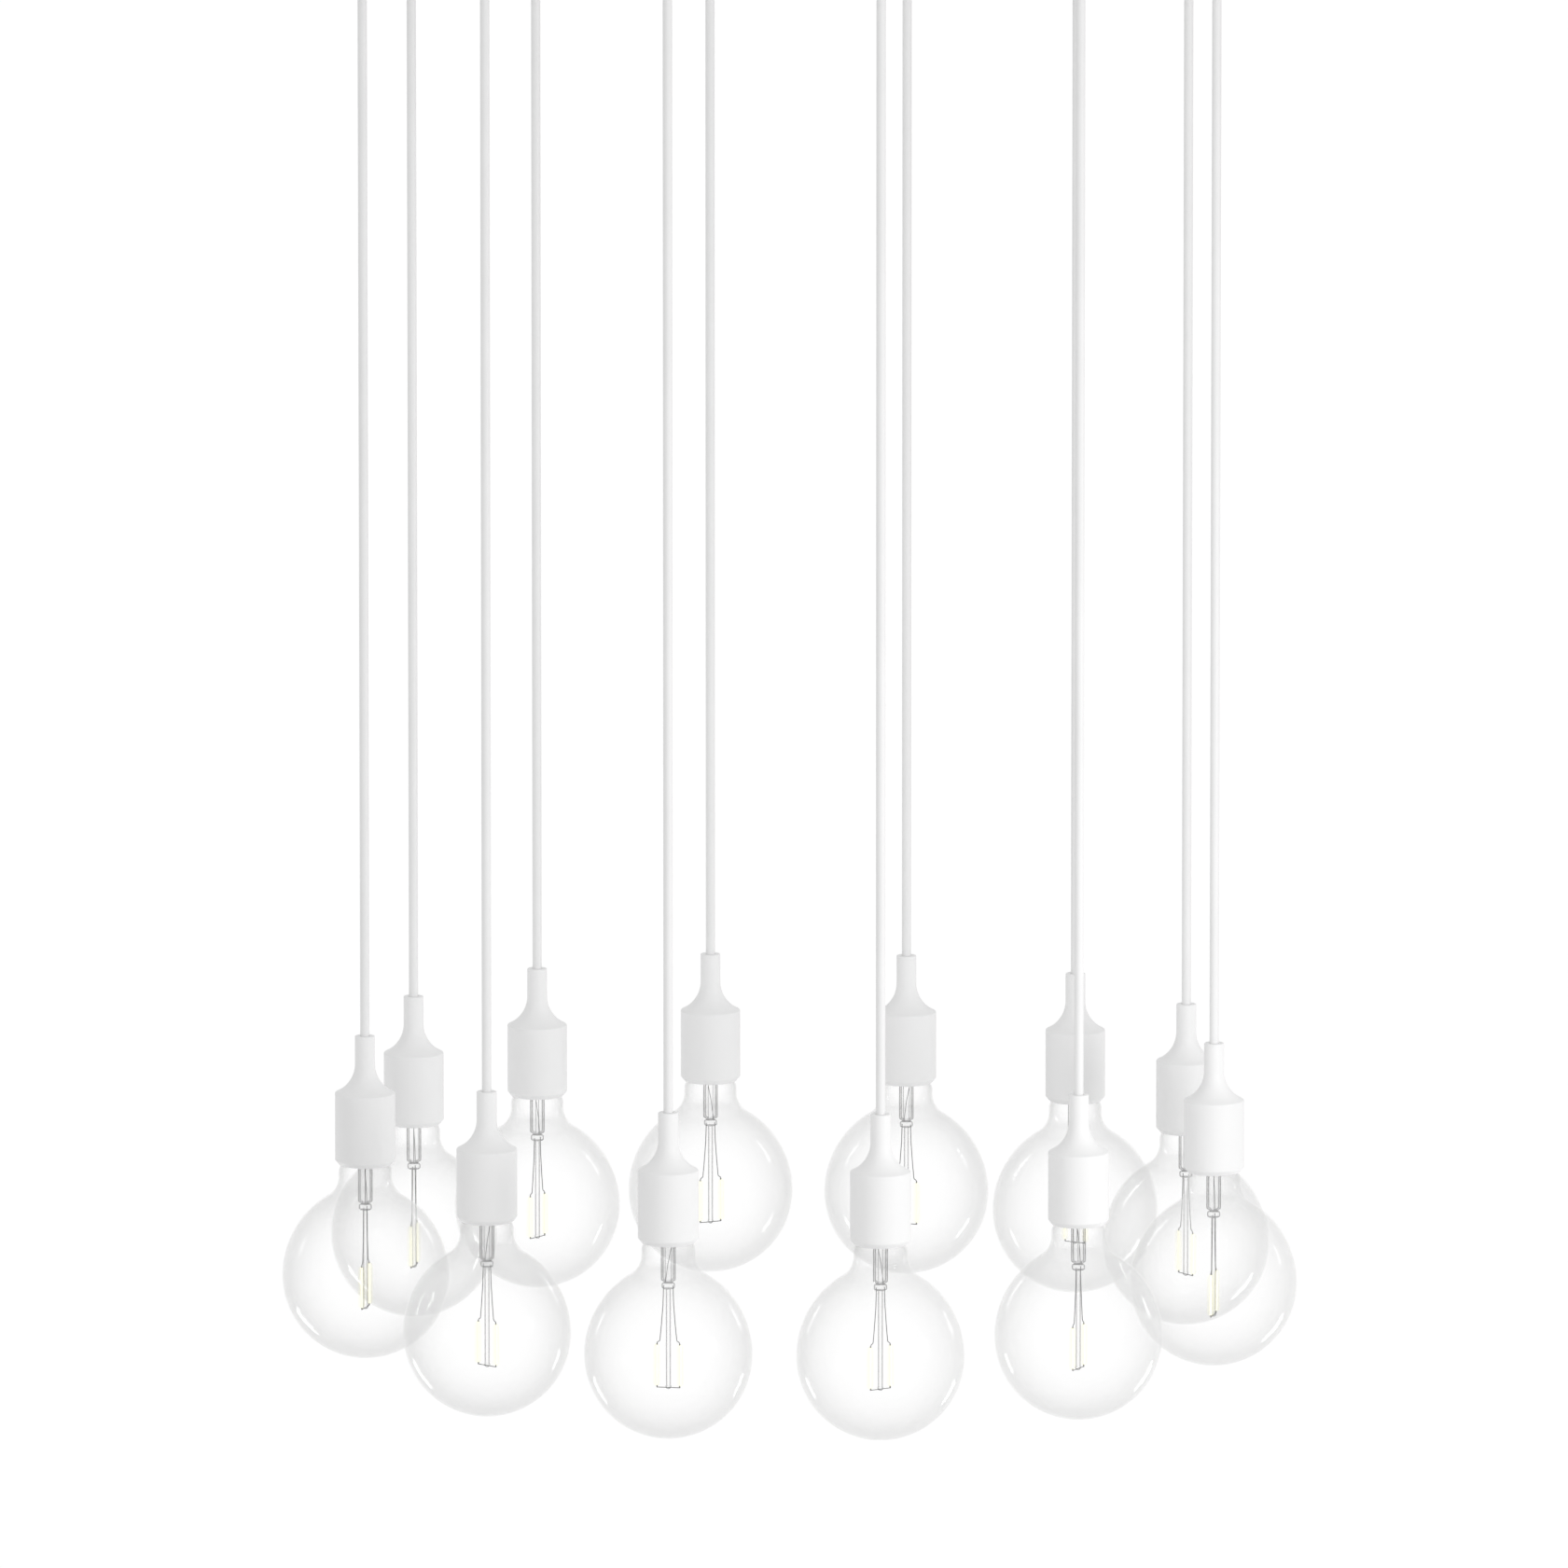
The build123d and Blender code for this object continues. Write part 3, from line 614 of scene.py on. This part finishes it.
# piece, mesh, finish, material slot, whether it turns with the thread
HOLDER_PIECES = [
    ("sleeve", sleeve_mesh, sleeve_finish, "sleeve", False),
    ("holder_core", core_mesh, core_finish, "sleeve", False),
    ("screw_shell", shell_mesh, shell_finish, "brass", True),
    ("centre_contact", contact_mesh, brass_finish, "brass", False),
]
BULB_PIECES = [
    ("globe_glass", globe_mesh, globe_finish, "glass", False),
    ("cap_thread", cap_thread, shell_finish, "brass", True),
    ("cap_rim", cap_rim, shell_finish, "brass", False),
    ("cap_shoulder", cap_shoulder, shell_finish, "brass", False),
    ("cap_insulator", insulator, insulator_finish, "glass", False),
    ("stem_tube", stem_tube, tube_finish, "glass", False),
    ("stem_bead", bead, tube_finish, "glass", False),
    ("stem_rod", rod, rod_finish, "glass", False),
    ("mount_wires", wires_mesh, wire_finish, "glass", True),
    ("filaments", filament_mesh, filament_finish, "glass", True),
    ("filament_coat_and_glow", coat_and_glow_mesh, coat_and_glow_finish, "glass", True),
]


def hang(name, mesh, finish, place, body, node):
    """One piece of a lamp, in its place, riding on its body and standing for its CAD node."""
    if not mesh.materials:
        mesh.materials.append(finish)
    piece = bpy.data.objects.new(name, mesh)
    piece.matrix_world = place
    bpy.context.scene.collection.objects.link(piece)
    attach(piece, body)
    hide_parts(node)


for number, (bearing, turn) in enumerate(zip(BEARINGS, BULB_TURNS), start=1):
    lamp = f"{number:02d}"
    straight = Matrix.Translation(ring_point(bearing, NECK_TOP))
    turned = straight @ Matrix.Rotation(radians(turn), 4, "Z")
    for kind, mesh, finish, slot, turns in HOLDER_PIECES:
        place = turned if turns else straight
        hang(f"{kind}_{lamp}", mesh, finish, place, "pendant_" + lamp, "lampholder_" + lamp)
    for kind, mesh, finish, slot, turns in BULB_PIECES:
        place = turned if turns else straight
        hang(f"{kind}_{lamp}", mesh, finish, place, "bulb_" + lamp, "bulb_" + lamp)

# ---- finishes of the CAD nodes that stay ----
NODE_FINISHES = {
    "ceiling_canopy": canopy_finish,
    "mounting_bracket": zinc_finish,
    "canopy_screws": zinc_finish,
    "cord_grips": nylon_finish,
    "grip_nuts": nylon_finish,
    "inner_leads": cord_finish,
    "junction_box": box_finish,
    "junction_cover": box_finish,
    "box_screws": zinc_finish,
    "terminal_block": terminal_finish,
    "terminal_screws": brass_finish,
    "inlet_grommet": rubber_finish,
}
for name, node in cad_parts.items():
    finish = NODE_FINISHES.get(name)
    if name.startswith("bulb_tip"):
        finish = brass_finish
    if finish is None:
        continue
    if not node.material_slots:
        node.data.materials.append(finish)
    for held in node.material_slots:
        held.link = "OBJECT"
        held.material = finish


# ---- studio: pale floor, soft sky light, a key light at the right, a large one in front, and a pair of
# strips low at each side, whose reflections draw the short bright lines on the globes ----
def area_light(name, place, look_at, size, power, height=None):
    """An area light that the camera doesn't see."""
    data = bpy.data.lights.new(name, "AREA")
    data.energy = power
    data.size = size
    if height:
        data.shape = "RECTANGLE"
        data.size_y = height
    lamp = bpy.data.objects.new(name, data)
    lamp.location = place
    lamp.rotation_euler = (Vector(look_at) - Vector(place)).to_track_quat("-Z", "Y").to_euler()
    lamp.visible_camera = False
    bpy.context.scene.collection.objects.link(lamp)


def seen_directly(tree):
    """A socket that is 1 for rays from the camera, also through glass or off gloss, and 0 for light."""
    path = add_node(tree, "ShaderNodeLightPath")
    either = add_node(tree, "ShaderNodeMath", operation="MAXIMUM")
    tree.links.new(path.outputs["Is Camera Ray"], either.inputs[0])
    tree.links.new(path.outputs["Is Glossy Ray"], either.inputs[1])
    any_seen = add_node(tree, "ShaderNodeMath", operation="MAXIMUM")
    tree.links.new(either.outputs[0], any_seen.inputs[0])
    tree.links.new(path.outputs["Is Transmission Ray"], any_seen.inputs[1])
    return any_seen.outputs[0]


def seen_as(tree, lighting, seen, out):
    """Joins a shader for the light it gives and one for how it is seen to an output node."""
    mix = add_node(tree, "ShaderNodeMixShader")
    tree.links.new(seen_directly(tree), mix.inputs["Fac"])
    tree.links.new(lighting, mix.inputs[1])
    tree.links.new(seen, mix.inputs[2])
    tree.links.new(mix.outputs["Shader"], tree.nodes[out].inputs["Surface"])


area_light("key", (1.1, -0.9, -0.8), (0, -0.2, -1.0), 0.4, 3.7)
area_light("front", (0.9, -2.6, -0.6), (0, -0.3, -1.0), 0.8, 9.0)
STRIP_PLACES = (0.95, 1.06)
for side in (-1, 1):
    for aside in STRIP_PLACES:
        area_light("strip", (side * aside, 0.55, -1.75), (0, 0, -1.1), 0.06, 0.8, height=0.36)

FLOOR_LEVEL = -2.0
FLOOR_SIZE = 90
SKY_STRENGTH = 0.79
FLOOR_GLOW = 0.33  # lifts the lit floor to the white of the background
world = bpy.data.worlds.new("studio")
bpy.context.scene.world = world
world.use_nodes = True
tree = world.node_tree
sky = tree.nodes["Background"]
sky.inputs["Color"].default_value = (1, 1, 1, 1)
sky.inputs["Strength"].default_value = SKY_STRENGTH
white = add_node(tree, "ShaderNodeBackground", Strength=1.0)
white.inputs["Color"].default_value = (1, 1, 1, 1)
seen_as(tree, sky.outputs["Background"], white.outputs["Background"], "World Output")

bpy.ops.mesh.primitive_plane_add(size=FLOOR_SIZE, location=(0, 0, FLOOR_LEVEL))
floor = bpy.context.object
floor.name = "floor"
floor_finish, tree, shader = new_material("floor")
shader.inputs["Base Color"].default_value = (0.85, 0.85, 0.85, 1)
shader.inputs["Roughness"].default_value = 0.9
lift = add_node(tree, "ShaderNodeEmission", Strength=FLOOR_GLOW)
lifted = add_node(tree, "ShaderNodeAddShader")
tree.links.new(shader.outputs["BSDF"], lifted.inputs[0])
tree.links.new(lift.outputs["Emission"], lifted.inputs[1])
seen_as(tree, shader.outputs["BSDF"], lifted.outputs["Shader"], "Material Output")
floor.data.materials.append(floor_finish)

bpy.context.scene.view_settings.view_transform = "Standard"
# the eye looks through globes behind globes, each with two skins and a stem
bpy.context.scene.cycles.transparent_max_bounces = 64
